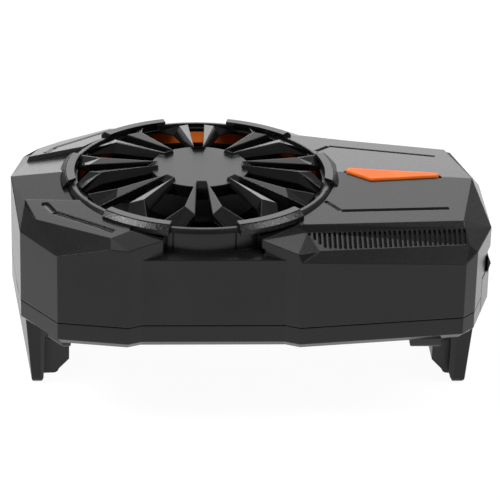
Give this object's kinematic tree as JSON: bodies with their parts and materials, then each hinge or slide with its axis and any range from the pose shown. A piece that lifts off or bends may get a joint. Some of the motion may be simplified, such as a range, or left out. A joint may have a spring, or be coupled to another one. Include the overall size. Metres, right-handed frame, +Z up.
{
  "type": "phone cooling fan",
  "caption": "Clip-on phone cooling fan: faceted black case, grilled round fan with an orange light ring, a fixed claw and a sprung sliding claw beneath.",
  "frame": {"origin": "middle of the case's length and width, on the plane that the two claws stand on", "axes": "+X along the case towards the sliding claw, +Y to the back, where the socket and the switch are, +Z up through the fan"},
  "size_m": [0.0836, 0.054, 0.0377],
  "materials": {
    "case_black": "fine moulded grain",
    "tray_black": "satin moulded",
    "cover_black": "satin with a fine sparkle",
    "guard_black": "satin moulded",
    "fan_black": "satin moulded",
    "light_orange": "translucent satin",
    "rubber_black": "soft matte",
    "board_green": "lacquered",
    "parts_dark": "matte",
    "lamp_white": "clear",
    "steel": "bright zinc",
    "magnet_grey": "matte",
    "winding_copper": "enamelled wire",
    "sleeve_bronze": "sintered",
    "cell_silver": "foil"
  },
  "bodies": {
    "case": {"upper_shell": "case_black", "lower_shell": "tray_black", "ring_covers": "cover_black", "fan_guard": "guard_black", "light_ring": "light_orange", "light_window": "light_orange", "light_board": "board_green", "lamps": "lamp_white", "fan_frame": "fan_black", "motor_board": "board_green", "bearing_sleeve": "sleeve_bronze", "stator_core": "steel", "stator_coils": "winding_copper", "left_arm": "tray_black", "left_jaw": "rubber_black", "arm_springs": "steel", "arm_cover": "tray_black", "left_bar": "rubber_black", "right_bar": "rubber_black", "battery": "cell_silver", "main_board": "board_green", "board_chips": "parts_dark", "usb_socket": "steel", "switch_body": "parts_dark", "case_screws": "steel", "claw_screws": "steel", "board_screws": "steel"},
    "rotor": {"motor_shaft": "steel", "rotor_cup": "steel", "rotor_magnet": "magnet_grey", "impeller": "fan_black"},
    "claw": {"right_arm": "tray_black", "right_jaw": "rubber_black"},
    "switch": {"switch_knob": "parts_dark"}
  },
  "joints": [
    {"name": "fan_spin", "type": "hinge", "parent": "case", "child": "rotor", "pos_m": [-0.0088, 0, 0.024], "axis": [0, 0, 1], "continuous": true},
    {"name": "claw_slide", "type": "slide", "parent": "case", "child": "claw", "axis": [1, 0, 0], "range_m": [0, 0.016], "stiffness_N_per_m": 120, "springref_m": -0.006, "deforming": ["arm_springs"]},
    {"name": "switch_slide", "type": "slide", "parent": "case", "child": "switch", "axis": [1, 0, 0], "range_m": [0, 0.002]}
  ]
}
